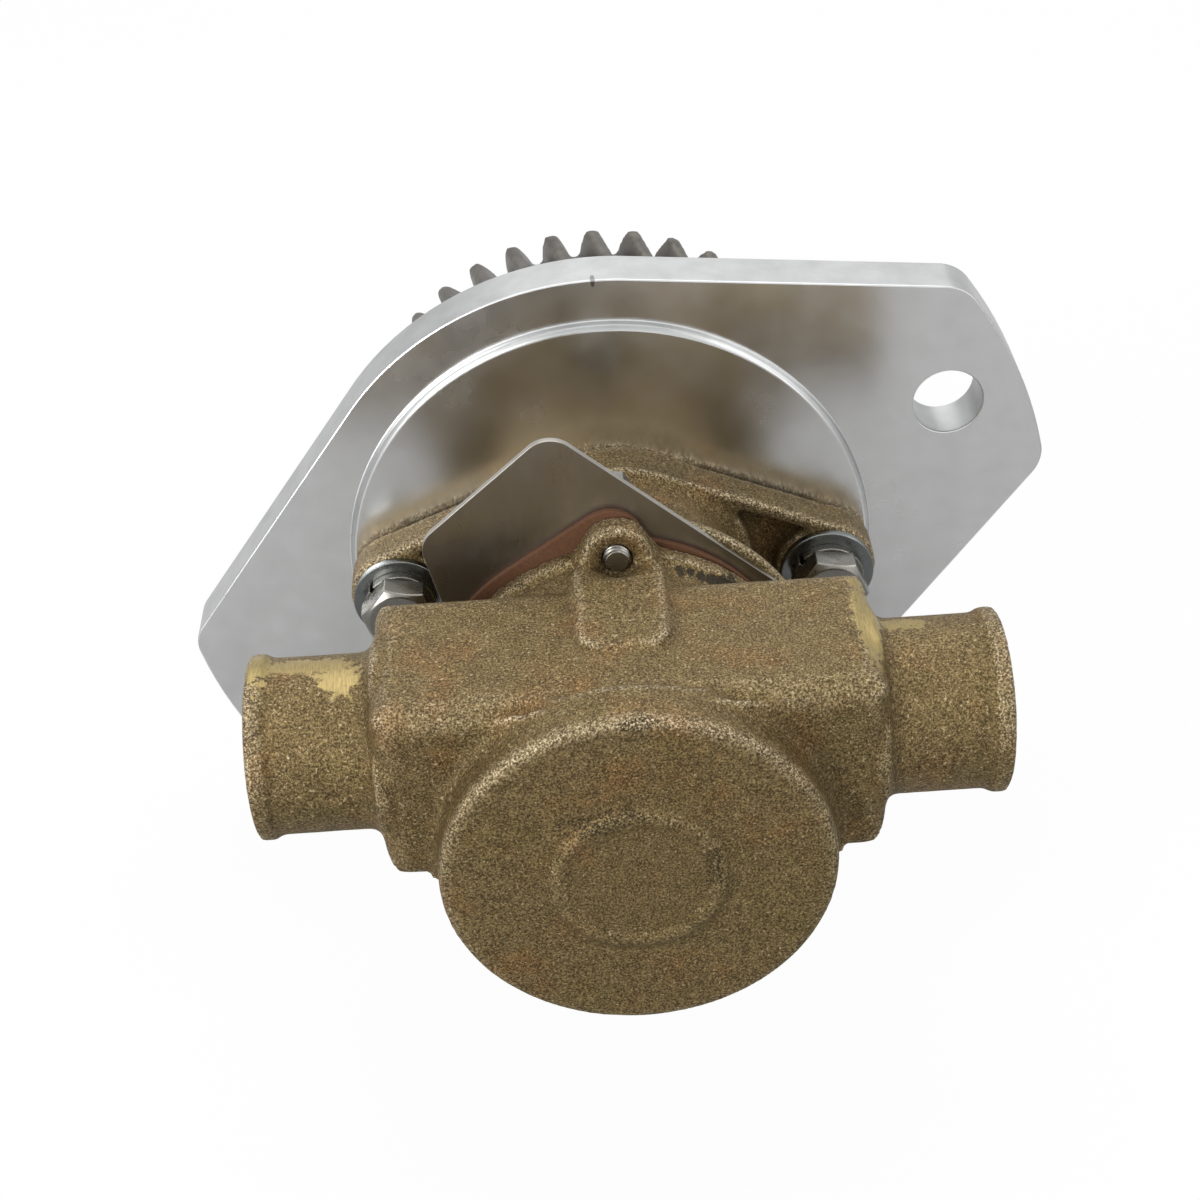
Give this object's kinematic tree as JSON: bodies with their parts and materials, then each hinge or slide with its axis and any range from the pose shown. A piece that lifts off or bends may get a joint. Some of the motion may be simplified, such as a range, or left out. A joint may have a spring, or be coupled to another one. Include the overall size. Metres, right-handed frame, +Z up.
{
  "type": "raw water pump",
  "caption": "Flexible impeller raw water pump: bronze body with two hose spigots, bearing housing, aluminium two-bolt adapter plate with pilot, and a helical drive gear.",
  "frame": {"origin": "on the shaft axis, in the plane of the adapter plate's rear mounting face", "axes": "+Y along the shaft from the pump body to the drive gear, +X to the right seen from the pump body's side, +Z up"},
  "size_m": [0.1718, 0.153, 0.1212],
  "materials": {
    "plate_aluminium": "machined, bright",
    "cast_bronze": "as cast, bead blasted",
    "machined_bronze": "machined",
    "zinc_steel": "zinc plated",
    "washer_steel": "zinc plated",
    "wear_steel": "rolled, bright",
    "gasket_fibre": "pressed fibre",
    "gear_steel": "hobbed, oiled",
    "dark_steel": "phosphated",
    "shaft_steel": "ground",
    "bearing_steel": "ground",
    "black_rubber": "moulded",
    "brown_rubber": "moulded",
    "seal_ceramic": "lapped",
    "seal_carbon": "lapped",
    "cage_brass": "stamped"
  },
  "bodies": {
    "pump": {"adapter_plate": "plate_aluminium", "pilot_o_ring": "black_rubber", "bearing_housing": "cast_bronze", "housing_screws": "zinc_steel", "housing_washers": "washer_steel", "housing_lock_washers": "zinc_steel", "wear_plate": "wear_steel", "body_gasket": "gasket_fibre", "pump_body": "cast_bronze", "body_screws": "zinc_steel", "body_lock_washers": "zinc_steel", "seal_seat": "seal_ceramic", "seat_cup": "black_rubber", "oil_seal_case": "shaft_steel", "oil_seal_lip": "brown_rubber", "housing_circlip": "dark_steel", "front_outer_race": "bearing_steel", "rear_outer_race": "bearing_steel"},
    "shaft_line": {"shaft": "shaft_steel", "front_inner_race": "bearing_steel", "rear_inner_race": "bearing_steel", "bearing_spacer": "shaft_steel", "shaft_circlip": "dark_steel", "slinger": "black_rubber", "seal_face": "seal_carbon", "seal_bellows": "black_rubber", "seal_spring": "shaft_steel", "impeller_hub": "machined_bronze", "impeller_vanes": "black_rubber", "impeller_key": "shaft_steel", "impeller_circlip": "dark_steel", "drive_gear": "gear_steel", "gear_key": "shaft_steel", "gear_washer": "dark_steel", "gear_nut": "dark_steel"},
    "front_ball_set": {"front_balls": "bearing_steel", "front_cage": "cage_brass"},
    "rear_ball_set": {"rear_balls": "bearing_steel", "rear_cage": "cage_brass"}
  },
  "joints": [
    {"name": "shaft_spin", "type": "hinge", "parent": "pump", "child": "shaft_line", "pos_m": [0, 0, 0], "axis": [0, 1, 0], "continuous": true, "deforming": ["impeller_vanes"]},
    {"name": "front_balls_spin", "type": "hinge", "parent": "pump", "child": "front_ball_set", "pos_m": [0, -0.017, 0], "axis": [0, 1, 0], "continuous": true},
    {"name": "rear_balls_spin", "type": "hinge", "parent": "pump", "child": "rear_ball_set", "pos_m": [0, 0, 0], "axis": [0, 1, 0], "continuous": true}
  ],
  "couplings": [
    {"joint": "front_balls_spin", "follows": "shaft_spin", "ratio": 0.38158},
    {"joint": "rear_balls_spin", "follows": "shaft_spin", "ratio": 0.38158}
  ]
}
